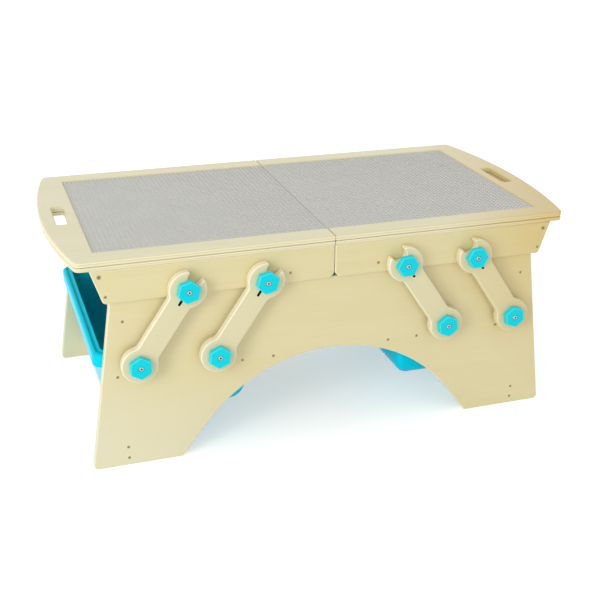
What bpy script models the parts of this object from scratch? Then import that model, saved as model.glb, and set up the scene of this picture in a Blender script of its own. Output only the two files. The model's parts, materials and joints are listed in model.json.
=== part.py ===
"""Children's play table: two half trays on wrench-shaped swing arms over two tubs.

The origin is at the middle of the footprint, on the floor. X runs along the
table, Y from front to back and Z up. All sizes are in metres. Faces that touch
on the real table stand GAP apart.
"""

import math

import bmesh
import bpy
from mathutils import Matrix, Vector

# Clearances
GAP = 0.0003
SEAM_GAP = 0.0010
ARM_CLEARANCE = 0.0005
BOLT_CLEARANCE = 0.0004

# Building plates, each row of studs drawn as one ridge as wide as a stud
PLATE_SIDE = 0.3840
PLATE_THICKNESS = 0.0078
STUD_PITCH = 0.0080
STUD_DIAMETER = 0.0048
STUD_HEIGHT = 0.0017

# Half tops, each a frame over a deck board
TOP_DEPTH = 0.4600
TOP_END_LEDGE = 0.0340
END_BULGE = 0.0270
TOP_CORNER_RADIUS = 0.0120
FRAME_THICKNESS = 0.0103
FRAME_EDGE = 0.0018
DECK_THICKNESS = 0.0062
DECK_EDGE = 0.0010
HAND_SLOT_INSET = 0.0065
HAND_SLOT_WIDTH = 0.0210
HAND_SLOT_LENGTH = 0.0940
HAND_SLOT_RADIUS = 0.0060

# Aprons and what ties them together
LIP_OVERHANG = 0.0010
APRON_HEIGHT = 0.0565
APRON_THICKNESS = 0.0150
APRON_END_SETBACK = 0.0210
APRON_END_SLANT = 0.0185
APRON_SEAM_RADIUS = 0.0120
APRON_END_RADIUS = 0.0060
APRON_EDGE = 0.0015
END_BOARD_THICKNESS = 0.0120
END_BOARD_INSET = 0.0050
CROSS_RAIL_X = 0.0766
CROSS_RAIL_THICKNESS = 0.0120
CROSS_RAIL_HEIGHT = 0.0500

# Arched side panels
PANEL_HEIGHT = 0.2960
PANEL_THICKNESS = 0.0150
PANEL_SETBACK = 0.0065
PANEL_TOP_INSET = 0.0100
PANEL_FLARE = 0.0435
PANEL_FOOT_RADIUS = 0.0070
PANEL_EDGE = 0.0015
ARCH_HEIGHT = 0.1660
ARCH_RADIUS = 0.2730
ARCH_SPRING_ANGLE = math.radians(38.0)
ARCH_FOOT_RADIUS = 0.0040

# Rails between the panels
UPPER_RAIL_INSET = 0.0175
UPPER_RAIL_THICKNESS = 0.0150
UPPER_RAIL_HEIGHT = 0.0320
UPPER_RAIL_DROP = 0.0190
STRETCHER_INSET = 0.0160
STRETCHER_THICKNESS = 0.0120
STRETCHER_HEIGHT = 0.0420
STRETCHER_LIFT = 0.0030
RAIL_EDGE = 0.0012

# Tub runners on the inner faces of the panels
RUNNER_INNER_X = 0.0880
RUNNER_REACH = 0.0100
RUNNER_TOP = 0.1770
RUNNER_HEIGHT = 0.0240
RUNNER_THICKNESS = 0.0150

# Storage tubs
TUB_REACH = 0.0290
TUB_LENGTH = 0.2780
TUB_SIDE_CLEARANCE = 0.0018
TUB_DEPTH = 0.1380
TUB_WALL = 0.0026
TUB_RIM_HEIGHT = 0.0220
TUB_RIM_WIDTH = 0.0165
TUB_RIM_ROUND = 0.0065
TUB_CORNER_RADIUS = 0.0180
TUB_CORNER_NARROWING = 0.2500
TUB_WALL_LEAN = math.radians(4.0)
TUB_FLOOR_RADIUS = 0.0400

# Swing arms
UPPER_PIVOT_INSET = 0.1200
PIVOT_SPACING = 0.1281
UPPER_PIVOT_LIFT = 0.0137
ARM_LENGTH = 0.1448
ARM_LEAN = math.radians(34.1)
ARM_THICKNESS = 0.0155
ARM_HEAD_RADIUS = 0.0308
ARM_EYE_RADIUS = 0.0300
ARM_SHANK_WIDTH = 0.0385
ARM_FILLET = 0.0120
ARM_EDGE = 0.0022
JAW_WIDTH = 0.0240
JAW_THROAT = 0.0100
JAW_TIP_RADIUS = 0.0030
KERF_WIDTH = 0.0036
KERF_START = 0.0140
KERF_END = 0.0286

# Knobs moulded on their bolts, and the spacers behind the lower eyes
KNOB_FLATS = 0.0340
KNOB_HEIGHT = 0.0100
KNOB_CHAMFER = 0.0016
KNOB_RECESS = 0.0100
KNOB_RECESS_DEPTH = 0.0020
BOLT_DIAMETER = 0.0080
BOLT_END_COVER = 0.0025
SPACER_DIAMETER = 0.0240
KNOB_TURNS = {
    "left_outer_upper": 18.0,
    "left_outer_lower": 4.0,
    "left_inner_upper": 19.0,
    "left_inner_lower": 2.0,
    "right_outer_upper": 33.0,
    "right_outer_lower": 54.0,
    "right_inner_upper": 22.0,
    "right_inner_lower": 57.0,
}

# Facets: how far a chord may lie from its arc, and the steps of the small rounds
ARC_ERROR = 0.00020
BORE_SIDES = 12
KERF_END_SIDES = 4
TUB_CORNER_STEPS = 4

# Places worked out from the sizes above
SEAM_X = SEAM_GAP / 2
STUD_ROWS = math.floor((PLATE_SIDE - STUD_DIAMETER) / STUD_PITCH) + 1
TOP_CORNER_X = SEAM_X + PLATE_SIDE + TOP_END_LEDGE
HAND_SLOT_X = TOP_CORNER_X - HAND_SLOT_INSET
APRON_TOP_X = TOP_CORNER_X - APRON_END_SETBACK
APRON_FOOT_X = APRON_TOP_X - APRON_END_SLANT
PANEL_TOP_HALF_WIDTH = APRON_FOOT_X - PANEL_TOP_INSET
PANEL_FOOT_HALF_WIDTH = PANEL_TOP_HALF_WIDTH + PANEL_FLARE
UPPER_RAIL_X = PANEL_TOP_HALF_WIDTH - UPPER_RAIL_INSET
STRETCHER_X = PANEL_TOP_HALF_WIDTH - STRETCHER_INSET
RUNNER_OUTER_X = PANEL_TOP_HALF_WIDTH + RUNNER_REACH
TUB_OUTER_X = PANEL_TOP_HALF_WIDTH + TUB_REACH
UPPER_PIVOT_X = PANEL_TOP_HALF_WIDTH - UPPER_PIVOT_INSET
APRON_BOTTOM = PANEL_HEIGHT + GAP
APRON_TOP = APRON_BOTTOM + APRON_HEIGHT
DECK_BOTTOM = APRON_TOP + GAP
DECK_TOP = DECK_BOTTOM + DECK_THICKNESS
FRAME_BOTTOM = DECK_TOP + GAP
APRON_FACE = TOP_DEPTH / 2 - LIP_OVERHANG
APRON_BACK = APRON_FACE - APRON_THICKNESS
PANEL_FACE = APRON_FACE - PANEL_SETBACK
PANEL_BACK = PANEL_FACE - PANEL_THICKNESS
ARM_BACK = APRON_FACE + ARM_CLEARANCE
KNOB_BACK = ARM_BACK + ARM_THICKNESS + GAP
BOLT_BORE = BOLT_DIAMETER + 2 * BOLT_CLEARANCE
UPPER_PIVOT_Z = APRON_BOTTOM + UPPER_PIVOT_LIFT
LOWER_PIVOT_Z = UPPER_PIVOT_Z - ARM_LENGTH * math.cos(ARM_LEAN)
ARM_RUN = ARM_LENGTH * math.sin(ARM_LEAN)

SIDES = {"left": -1, "right": 1}
FACES = {"front": -1, "rear": 1}
UPPER_PIVOTS = {"outer": UPPER_PIVOT_X, "inner": UPPER_PIVOT_X - PIVOT_SPACING}


def clear_scene():
    """Remove the objects that a new file opens with."""
    for thing in list(bpy.data.objects):
        bpy.data.objects.remove(thing, do_unlink=True)


def new_collection(name):
    """Make a collection under the scene's own."""
    collection = bpy.data.collections.new(name)
    bpy.context.scene.collection.children.link(collection)
    return collection


def make_material(name, colour, roughness, metallic=0.0):
    """Make a Principled material with one colour."""
    material = bpy.data.materials.new(name)
    material.use_nodes = True
    shader = material.node_tree.nodes["Principled BSDF"]
    shader.inputs["Base Color"].default_value = (*colour, 1.0)
    shader.inputs["Roughness"].default_value = roughness
    shader.inputs["Metallic"].default_value = metallic
    return material


# Flat outlines

def arc(centre, radius, start, end):
    """Points along an arc from one angle to another, both ends included."""
    step = 2 * math.acos(1 - ARC_ERROR / radius)
    count = max(2, math.ceil(abs(end - start) / step))
    angles = [start + (end - start) * k / count for k in range(count + 1)]
    return [(centre[0] + radius * math.cos(a), centre[1] + radius * math.sin(a)) for a in angles]


def fillet(before, corner, after, radius):
    """Points of the arc that rounds one corner of a polygon."""
    corner = Vector(corner)
    to_before = (Vector(before) - corner).normalized()
    to_after = (Vector(after) - corner).normalized()
    half = to_before.angle(to_after) / 2
    centre = corner + (to_before + to_after).normalized() * (radius / math.sin(half))
    first = corner + to_before * (radius / math.tan(half)) - centre
    last = corner + to_after * (radius / math.tan(half)) - centre
    start = math.atan2(first.y, first.x)
    sweep = math.atan2(first.x * last.y - first.y * last.x, first.dot(last))
    return arc(centre, radius, start, start + sweep)


def rounded(corners):
    """Outline through corners given as (x, y, radius); radius 0 stays sharp."""
    points = []
    for index, (x, y, radius) in enumerate(corners):
        before = corners[index - 1][:2]
        after = corners[(index + 1) % len(corners)][:2]
        if radius > 0:
            points.extend(fillet(before, (x, y), after, radius))
        else:
            points.append((x, y))
    return points


def circle(centre, diameter):
    """Round outline with BORE_SIDES sides, anticlockwise."""
    angles = [2 * math.pi * k / BORE_SIDES for k in range(BORE_SIDES)]
    radius = diameter / 2
    return [(centre[0] + radius * math.cos(a), centre[1] + radius * math.sin(a)) for a in angles]


def signed_area(points):
    """Area of an outline, positive when it runs anticlockwise."""
    pairs = zip(points, points[1:] + points[:1])
    return sum(a[0] * b[1] - b[0] * a[1] for a, b in pairs) / 2


# Meshes

def evaluated_mesh(thing):
    """Mesh of an object with its modifiers applied; the object is removed."""
    bpy.context.scene.collection.objects.link(thing)
    graph = bpy.context.evaluated_depsgraph_get()
    mesh = bpy.data.meshes.new_from_object(thing.evaluated_get(graph), depsgraph=graph)
    bpy.data.objects.remove(thing, do_unlink=True)
    return mesh


def board_mesh(name, outline, holes, thickness, edge):
    """Flat board centred on its own XY plane, all its edges chamfered."""
    data = bpy.data.curves.new(name, "CURVE")
    data.dimensions = "2D"
    data.fill_mode = "BOTH"
    data.extrude = thickness / 2 - edge
    data.bevel_depth = edge
    data.bevel_resolution = 0
    data.offset = -edge
    for index, loop in enumerate([outline] + list(holes)):
        clockwise = signed_area(loop) < 0
        is_hole = index > 0
        if clockwise != is_hole:
            loop = loop[::-1]
        spline = data.splines.new("POLY")
        spline.points.add(len(loop) - 1)
        spline.points.foreach_set("co", [v for x, y in loop for v in (x, y, 0.0, 1.0)])
        spline.use_cyclic_u = True
    mesh = evaluated_mesh(bpy.data.objects.new(name, data))
    bpy.data.curves.remove(data)
    shape = bmesh.new()
    shape.from_mesh(mesh)
    bmesh.ops.remove_doubles(shape, verts=shape.verts, dist=GAP / 100)
    shape.to_mesh(mesh)
    shape.free()
    return mesh


def prism_mesh(name, loops, bottom, top):
    """Straight prisms along Z over anticlockwise outlines, in one mesh."""
    shape = bmesh.new()
    for loop in loops:
        low = [shape.verts.new((x, y, bottom)) for x, y in loop]
        high = [shape.verts.new((x, y, top)) for x, y in loop]
        shape.faces.new(low[::-1])
        shape.faces.new(high)
        for k in range(len(loop)):
            after = (k + 1) % len(loop)
            shape.faces.new((low[k], low[after], high[after], high[k]))
    mesh = bpy.data.meshes.new(name)
    shape.to_mesh(mesh)
    shape.free()
    return mesh


def bar_mesh(name, size, edge):
    """Straight bar centred on its origin, its edges chamfered."""
    shape = bmesh.new()
    bmesh.ops.create_cube(shape, size=1.0)
    bmesh.ops.scale(shape, vec=size, verts=shape.verts)
    bmesh.ops.bevel(shape, geom=shape.edges[:], offset=edge, segments=1, affect="EDGES")
    mesh = bpy.data.meshes.new(name)
    shape.to_mesh(mesh)
    shape.free()
    return mesh


def carved(name, mesh, steps):
    """Mesh after the Boolean steps, each given as (operation, tool mesh)."""
    thing = bpy.data.objects.new(name, mesh)
    tools = []
    for operation, tool_mesh in steps:
        tool = bpy.data.objects.new(name + "_tool", tool_mesh)
        tool.hide_render = True
        tool.display_type = "WIRE"
        bpy.context.scene.collection.objects.link(tool)
        tools.append(tool)
        step = thing.modifiers.new(operation, "BOOLEAN")
        step.operation = operation
        step.solver = "EXACT"
        step.object = tool
    result = evaluated_mesh(thing)
    for tool in tools:
        bpy.data.objects.remove(tool, do_unlink=True)
    return result


# Placing

def place(name, mesh, matrix, collection, material, pivot=None):
    """Put a mesh into the scene, hung on a pivot empty when it has one."""
    if not mesh.materials:
        mesh.materials.append(material)
    thing = bpy.data.objects.new(name, mesh)
    collection.objects.link(thing)
    if pivot:
        thing.parent = pivot
        matrix = Matrix.Translation(-pivot.location) @ matrix
    thing.matrix_basis = matrix
    return thing


def at(x, y, z):
    """Matrix that moves without turning."""
    return Matrix.Translation((x, y, z))


def upright(x, y, z):
    """Matrix that stands a board up, its own XY plane becoming a plane XZ."""
    return at(x, y, z) @ Matrix.Rotation(math.pi / 2, 4, "X")


# Base

def panel_outline():
    """Side panel: flared ends, rounded feet and an arch on straight springings."""
    centre_z = ARCH_HEIGHT - ARCH_RADIUS
    spring_x = ARCH_RADIUS * math.cos(ARCH_SPRING_ANGLE)
    spring_z = centre_z + ARCH_RADIUS * math.sin(ARCH_SPRING_ANGLE)
    arch_foot_x = spring_x + spring_z * math.tan(ARCH_SPRING_ANGLE)
    arch = arc((0.0, centre_z), ARCH_RADIUS, ARCH_SPRING_ANGLE, math.pi - ARCH_SPRING_ANGLE)
    right_foot = [
        (PANEL_TOP_HALF_WIDTH, PANEL_HEIGHT, 0.0),
        (PANEL_FOOT_HALF_WIDTH, 0.0, PANEL_FOOT_RADIUS),
        (arch_foot_x, 0.0, ARCH_FOOT_RADIUS),
    ]
    left_foot = [(-x, z, radius) for x, z, radius in reversed(right_foot)]
    return rounded(right_foot + [(x, z, 0.0) for x, z in arch] + left_foot)


def make_panels(parts, wood):
    """Front and rear side panels, bored for the lower pivot bolts."""
    lower_pivots = [sign * (x + ARM_RUN) for sign in SIDES.values() for x in UPPER_PIVOTS.values()]
    bores = [circle((x, LOWER_PIVOT_Z), BOLT_BORE) for x in lower_pivots]
    drill = prism_mesh("panel_drill", bores, -PANEL_THICKNESS, PANEL_THICKNESS)
    blank = board_mesh("side_panel", panel_outline(), [], PANEL_THICKNESS, PANEL_EDGE)
    panel = carved("side_panel", blank, [("DIFFERENCE", drill)])
    for face, facing in FACES.items():
        middle = facing * (PANEL_FACE - PANEL_THICKNESS / 2)
        place(face + "_side_panel", panel, upright(0.0, middle, 0.0), parts, wood)


def make_rails(parts, wood):
    """Upper cross rails, lower stretchers and tub runners between the panels."""
    span = 2 * (PANEL_BACK - GAP)
    rail = bar_mesh("upper_cross_rail", (UPPER_RAIL_THICKNESS, span, UPPER_RAIL_HEIGHT), RAIL_EDGE)
    rail_z = PANEL_HEIGHT - UPPER_RAIL_DROP - UPPER_RAIL_HEIGHT / 2
    stretcher = bar_mesh("lower_stretcher", (STRETCHER_THICKNESS, span, STRETCHER_HEIGHT), RAIL_EDGE)
    stretcher_z = STRETCHER_LIFT + STRETCHER_HEIGHT / 2
    runner_length = RUNNER_OUTER_X - RUNNER_INNER_X
    runner = bar_mesh("tub_runner", (runner_length, RUNNER_THICKNESS, RUNNER_HEIGHT), RAIL_EDGE)
    runner_x = (RUNNER_OUTER_X + RUNNER_INNER_X) / 2
    runner_y = PANEL_BACK - GAP - RUNNER_THICKNESS / 2
    runner_z = RUNNER_TOP - RUNNER_HEIGHT / 2
    for side, sign in SIDES.items():
        place(side + "_upper_cross_rail", rail, at(sign * UPPER_RAIL_X, 0.0, rail_z), parts, wood)
        place(side + "_lower_stretcher", stretcher, at(sign * STRETCHER_X, 0.0, stretcher_z), parts, wood)
        for face, facing in FACES.items():
            spot = at(sign * runner_x, facing * runner_y, runner_z)
            place(side + "_" + face + "_tub_runner", runner, spot, parts, wood)


# Storage tubs

def tub_profile():
    """Section of the tub as (inset from the rim's outline, height).

    It runs from the foot of the rim's skirt up and over the rolled edge, along
    the flange, down the inside of the leaning wall and round onto the floor.
    """
    top = RUNNER_TOP + GAP + TUB_RIM_HEIGHT
    floor = top - TUB_DEPTH
    roll = arc((TUB_RIM_ROUND, top - TUB_RIM_ROUND), TUB_RIM_ROUND, math.pi, math.pi / 2)
    lip = arc((TUB_RIM_WIDTH - TUB_WALL, top - TUB_WALL), TUB_WALL, math.pi / 2, 0.0)
    wall_foot = TUB_RIM_WIDTH + (TUB_DEPTH - TUB_FLOOR_RADIUS) * math.tan(TUB_WALL_LEAN)
    bowl_centre = (wall_foot + TUB_FLOOR_RADIUS, floor + TUB_FLOOR_RADIUS)
    bowl = arc(bowl_centre, TUB_FLOOR_RADIUS, math.pi + TUB_WALL_LEAN, math.pi * 1.5)
    return [(0.0, top - TUB_RIM_HEIGHT)] + roll + lip + bowl


def rounded_ring(half_x, half_y, radius, z):
    """Points of a rounded rectangle at one height, the same count for every size."""
    points = []
    quarter = math.pi / 2
    for index, (sx, sy) in enumerate(((1, 1), (-1, 1), (-1, -1), (1, -1))):
        for k in range(TUB_CORNER_STEPS + 1):
            turn = (index + k / TUB_CORNER_STEPS) * quarter
            x = sx * (half_x - radius) + radius * math.cos(turn)
            y = sy * (half_y - radius) + radius * math.sin(turn)
            points.append((x, y, z))
    return points


def make_tubs(parts, plastic):
    """Open tubs: a skin lofted from the skirt to the floor, then thickened."""
    half_x = TUB_LENGTH / 2
    half_y = PANEL_BACK - TUB_SIDE_CLEARANCE
    shape = bmesh.new()
    rings = []
    for inset, z in tub_profile():
        radius = TUB_CORNER_RADIUS - inset * TUB_CORNER_NARROWING
        points = rounded_ring(half_x - inset, half_y - inset, radius, z)
        rings.append([shape.verts.new(point) for point in points])
    for lower, upper in zip(rings, rings[1:]):
        for k in range(len(lower)):
            after = (k + 1) % len(lower)
            shape.faces.new((lower[k], lower[after], upper[after], upper[k]))
    shape.faces.new(rings[-1])
    mesh = bpy.data.meshes.new("storage_tub")
    shape.to_mesh(mesh)
    shape.free()
    mesh.shade_smooth()
    for side, sign in SIDES.items():
        spot = at(sign * (TUB_OUTER_X - half_x), 0.0, 0.0)
        tub = place(side + "_storage_tub", mesh, spot, parts, plastic)
        wall = tub.modifiers.new("wall", "SOLIDIFY")
        wall.thickness = TUB_WALL
        wall.offset = -1.0
        wall.use_even_offset = True


# Half trays, drawn as the right one

def top_corners():
    """Corners and end arc of a half top, from the front of the seam to its rear."""
    half = TOP_DEPTH / 2
    radius = (half * half + END_BULGE * END_BULGE) / (2 * END_BULGE)
    centre_x = TOP_CORNER_X + END_BULGE - radius
    sweep = math.asin(half / radius)
    end = arc((centre_x, 0.0), radius, -sweep, sweep)
    rounding = [TOP_CORNER_RADIUS] + [0.0] * (len(end) - 2) + [TOP_CORNER_RADIUS]
    curve = [(x, y, r) for (x, y), r in zip(end, rounding)]
    return [(SEAM_X, -half, 0.0)] + curve + [(SEAM_X, half, 0.0)]


def hand_slot():
    """Rounded hand slot through the end of a half top."""
    across = HAND_SLOT_WIDTH / 2
    along = HAND_SLOT_LENGTH / 2
    corners = [
        (HAND_SLOT_X - across, -along, HAND_SLOT_RADIUS),
        (HAND_SLOT_X + across, -along, HAND_SLOT_RADIUS),
        (HAND_SLOT_X + across, along, HAND_SLOT_RADIUS),
        (HAND_SLOT_X - across, along, HAND_SLOT_RADIUS),
    ]
    return rounded(corners)


def plate_recess():
    """Corners of the frame's opening for the plate, from the rear to the front."""
    reach = SEAM_X + PLATE_SIDE + GAP
    half = PLATE_SIDE / 2 + GAP
    return [(SEAM_X, half, 0.0), (reach, half, 0.0), (reach, -half, 0.0), (SEAM_X, -half, 0.0)]


def plate_mesh():
    """Plate lying on its own XY plane, its ridges running along X."""
    half = PLATE_SIDE / 2
    crest = PLATE_THICKNESS + STUD_HEIGHT
    profile = [(half, 0.0), (half, PLATE_THICKNESS)]
    for row in range(STUD_ROWS):
        middle = ((STUD_ROWS - 1) / 2 - row) * STUD_PITCH
        near, far = middle + STUD_DIAMETER / 2, middle - STUD_DIAMETER / 2
        profile += [(near, PLATE_THICKNESS), (near, crest), (far, crest), (far, PLATE_THICKNESS)]
    profile += [(-half, PLATE_THICKNESS), (-half, 0.0)]
    mesh = prism_mesh("studded_plate", [profile], -half, half)
    mesh.transform(Matrix.Rotation(math.pi / 2, 4, "Z") @ Matrix.Rotation(math.pi / 2, 4, "X"))
    return mesh


def apron_outline():
    """Apron of one half: rounded at the seam's foot, slanted at its outer end."""
    corners = [
        (SEAM_X, APRON_TOP, 0.0),
        (SEAM_X, APRON_BOTTOM, APRON_SEAM_RADIUS),
        (APRON_FOOT_X, APRON_BOTTOM, APRON_END_RADIUS),
        (APRON_TOP_X, APRON_TOP, 0.0),
    ]
    return rounded(corners)


def end_board_outline():
    """Slanted end board, level at its top and foot, inside the apron's slant."""
    slant = math.atan2(APRON_TOP_X - APRON_FOOT_X, APRON_HEIGHT)
    inset = END_BOARD_INSET / math.cos(slant)
    width = END_BOARD_THICKNESS / math.cos(slant)
    return [
        (APRON_FOOT_X - inset - width, APRON_BOTTOM),
        (APRON_FOOT_X - inset, APRON_BOTTOM),
        (APRON_TOP_X - inset, APRON_TOP),
        (APRON_TOP_X - inset - width, APRON_TOP),
    ]


def make_trays(parts, pivots, wood, plastic):
    """Both half trays, the left one being the right one given a half turn.

    A tray hangs on an empty at the upper pivot of its front outer arm.
    """
    outer = top_corners()
    slot = hand_slot()
    frame_outline = rounded(outer + plate_recess())
    frame = board_mesh("top_frame", frame_outline, [slot], FRAME_THICKNESS, FRAME_EDGE)
    deck = board_mesh("deck_board", rounded(outer), [slot], DECK_THICKNESS, DECK_EDGE)
    plate = plate_mesh()
    bores = [circle((x, UPPER_PIVOT_Z), BOLT_BORE) for x in UPPER_PIVOTS.values()]
    drill = prism_mesh("apron_drill", bores, -APRON_THICKNESS, APRON_THICKNESS)
    blank = board_mesh("apron", apron_outline(), [], APRON_THICKNESS, APRON_EDGE)
    apron = carved("apron", blank, [("DIFFERENCE", drill)])
    span = 2 * (APRON_BACK - GAP)
    end_board = board_mesh("end_board", end_board_outline(), [], span, RAIL_EDGE)
    rail = bar_mesh("cross_rail", (CROSS_RAIL_THICKNESS, span, CROSS_RAIL_HEIGHT), RAIL_EDGE)
    frame_z = FRAME_BOTTOM + FRAME_THICKNESS / 2
    deck_z = DECK_BOTTOM + DECK_THICKNESS / 2
    rail_z = APRON_TOP - CROSS_RAIL_HEIGHT / 2
    apron_y = APRON_FACE - APRON_THICKNESS / 2
    hangers = {}
    for side, sign in SIDES.items():
        hanger = bpy.data.objects.new(side + "_tray_pivot", None)
        hanger.location = (sign * UPPER_PIVOT_X, -APRON_FACE, UPPER_PIVOT_Z)
        pivots.objects.link(hanger)
        hangers[side] = hanger
        turn = Matrix.Rotation(0.0 if sign > 0 else math.pi, 4, "Z")
        place(side + "_top_frame", frame, turn @ at(0.0, 0.0, frame_z), parts, wood, hanger)
        place(side + "_deck_board", deck, turn @ at(0.0, 0.0, deck_z), parts, wood, hanger)
        spot = turn @ at(SEAM_X + PLATE_SIDE / 2, 0.0, FRAME_BOTTOM)
        place(side + "_studded_plate", plate, spot, parts, plastic, hanger)
        place(side + "_end_board", end_board, turn @ upright(0.0, 0.0, 0.0), parts, wood, hanger)
        spot = turn @ at(CROSS_RAIL_X, 0.0, rail_z)
        place(side + "_cross_rail", rail, spot, parts, wood, hanger)
        for face, facing in FACES.items():
            spot = turn @ upright(0.0, sign * facing * apron_y, 0.0)
            place(side + "_" + face + "_apron", apron, spot, parts, wood, hanger)
    return hangers


# Swing arms

def neck(end_radius):
    """Fillet between a round end about the origin and the shank below it.

    Returns the angle at which it leaves the round end, at its right, and the
    points from there down to the shank.
    """
    centre_x = ARM_SHANK_WIDTH / 2 + ARM_FILLET
    centre_y = -math.sqrt((end_radius + ARM_FILLET) ** 2 - centre_x ** 2)
    meeting = math.atan2(centre_y, centre_x)
    return meeting, arc((centre_x, centre_y), ARM_FILLET, meeting + math.pi, math.pi)


def arm_outline():
    """Wrench outline about the lower pivot: round eye, shank and open jaw."""
    half_jaw = JAW_WIDTH / 2
    tip_run = ARM_HEAD_RADIUS - JAW_TIP_RADIUS
    tip_lean = math.asin((half_jaw + JAW_TIP_RADIUS) / tip_run)
    tip_centre = (half_jaw + JAW_TIP_RADIUS, tip_run * math.cos(tip_lean))
    up = math.pi / 2
    head_meeting, head_neck = neck(ARM_HEAD_RADIUS)
    eye_meeting, eye_neck = neck(ARM_EYE_RADIUS)
    throat = arc((0.0, JAW_THROAT + half_jaw), half_jaw, -up, 0.0)
    tip = arc(tip_centre, JAW_TIP_RADIUS, math.pi, up - tip_lean)
    head = arc((0.0, 0.0), ARM_HEAD_RADIUS, up - tip_lean, head_meeting)
    upper = throat + tip + head[1:] + head_neck[1:]
    eye = arc((0.0, 0.0), ARM_EYE_RADIUS, -eye_meeting, -up)
    lower = [(x, -y) for x, y in reversed(eye_neck)] + eye[1:]
    right = [(x, y + ARM_LENGTH) for x, y in upper] + lower
    left = [(-x, y) for x, y in reversed(right[1:-1])]
    return right + left


def kerf():
    """Narrow round-ended slot in the shank below the upper pivot, anticlockwise."""
    radius = KERF_WIDTH / 2
    head = ARM_LENGTH - KERF_START - radius
    foot = ARM_LENGTH - KERF_END + radius
    points = []
    for middle, first in ((head, 0.0), (foot, math.pi)):
        for k in range(KERF_END_SIDES + 1):
            turn = first + math.pi * k / KERF_END_SIDES
            points.append((radius * math.cos(turn), middle + radius * math.sin(turn)))
    return points


def arm_mesh():
    """Arm with its two bores and its kerf."""
    blank = board_mesh("arm", arm_outline(), [], ARM_THICKNESS, ARM_EDGE)
    loops = [circle((0.0, 0.0), BOLT_BORE), circle((0.0, ARM_LENGTH), BOLT_BORE), kerf()]
    drill = prism_mesh("arm_drill", loops, -ARM_THICKNESS, ARM_THICKNESS)
    return carved("arm", blank, [("DIFFERENCE", drill)])


# Knobs and spacers

def knob_mesh(name, bolt_reach):
    """Hexagonal head from z = 0 up, its recess, and its bolt down to -bolt_reach."""
    corner_radius = KNOB_FLATS / (2 * math.cos(math.pi / 6))
    middle = KNOB_HEIGHT / 2
    shape = bmesh.new()
    bmesh.ops.create_cone(
        shape,
        cap_ends=True,
        segments=6,
        radius1=corner_radius,
        radius2=corner_radius,
        depth=KNOB_HEIGHT,
        matrix=Matrix.Translation((0.0, 0.0, middle)),
    )
    softened = [edge for edge in shape.edges if max(v.co.z for v in edge.verts) > middle]
    bmesh.ops.bevel(shape, geom=softened, offset=KNOB_CHAMFER, segments=1, affect="EDGES")
    head = bpy.data.meshes.new(name)
    shape.to_mesh(head)
    shape.free()
    centre = (0.0, 0.0)
    bolt = prism_mesh("bolt", [circle(centre, BOLT_DIAMETER)], -bolt_reach, middle)
    recess_foot = KNOB_HEIGHT - KNOB_RECESS_DEPTH
    recess = prism_mesh("recess", [circle(centre, KNOB_RECESS)], recess_foot, KNOB_HEIGHT * 2)
    return carved(name, head, [("UNION", bolt), ("DIFFERENCE", recess)])


def spacer_mesh():
    """Ring that fills the step between the panel and an arm's lower eye."""
    length = PANEL_SETBACK + ARM_CLEARANCE - 2 * GAP
    half = length / 2
    ring = prism_mesh("spacer", [circle((0.0, 0.0), SPACER_DIAMETER)], -half, half)
    drill = prism_mesh("spacer_drill", [circle((0.0, 0.0), BOLT_BORE)], -length, length)
    return carved("spacer", ring, [("DIFFERENCE", drill)])


def make_linkage(parts, hangers, wood, plastic):
    """Arms, knobs and spacers; each arm's origin is on its lower pivot."""
    arm = arm_mesh()
    spacer = spacer_mesh()
    upper_knob = knob_mesh("upper_knob", KNOB_BACK - APRON_BACK - BOLT_END_COVER)
    lower_knob = knob_mesh("lower_knob", KNOB_BACK - PANEL_BACK - BOLT_END_COVER)
    arm_y = ARM_BACK + ARM_THICKNESS / 2
    spacer_y = (PANEL_FACE + ARM_BACK) / 2
    for side, sign in SIDES.items():
        lean = Matrix.Rotation(sign * ARM_LEAN, 4, "Z")
        for face, facing in FACES.items():
            outward = Matrix.Rotation(-facing * math.pi / 2, 4, "X")
            for where, upper_x in UPPER_PIVOTS.items():
                label = side + "_" + face + "_" + where
                lower_x = upper_x + ARM_RUN
                spot = upright(sign * lower_x, facing * arm_y, LOWER_PIVOT_Z) @ lean
                place(label + "_arm", arm, spot, parts, wood)
                spot = upright(sign * lower_x, facing * spacer_y, LOWER_PIVOT_Z)
                place(label + "_spacer", spacer, spot, parts, wood)
                turn_key = side + "_" + where
                turn = Matrix.Rotation(-math.radians(KNOB_TURNS[turn_key + "_upper"]), 4, "Z")
                spot = at(sign * upper_x, facing * KNOB_BACK, UPPER_PIVOT_Z) @ outward @ turn
                place(label + "_upper_knob", upper_knob, spot, parts, plastic, hangers[side])
                turn = Matrix.Rotation(-math.radians(KNOB_TURNS[turn_key + "_lower"]), 4, "Z")
                spot = at(sign * lower_x, facing * KNOB_BACK, LOWER_PIVOT_Z) @ outward @ turn
                place(label + "_lower_knob", lower_knob, spot, parts, plastic)


def main():
    """Build the whole table."""
    clear_scene()
    parts = new_collection("play_table")
    pivots = new_collection("pivots")
    birch = make_material("birch_plywood", (0.76, 0.68, 0.43), 0.45)
    arm_birch = make_material("birch_arm_board", (0.79, 0.73, 0.52), 0.45)
    plate_plastic = make_material("grey_plate_plastic", (0.57, 0.55, 0.52), 0.35)
    tub_plastic = make_material("turquoise_tub_plastic", (0.02, 0.55, 0.66), 0.30)
    knob_plastic = make_material("turquoise_knob_plastic", (0.01, 0.65, 0.80), 0.28)
    make_panels(parts, birch)
    make_rails(parts, birch)
    make_tubs(parts, tub_plastic)
    hangers = make_trays(parts, pivots, birch, plate_plastic)
    make_linkage(parts, hangers, arm_birch, knob_plastic)


main()
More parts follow.
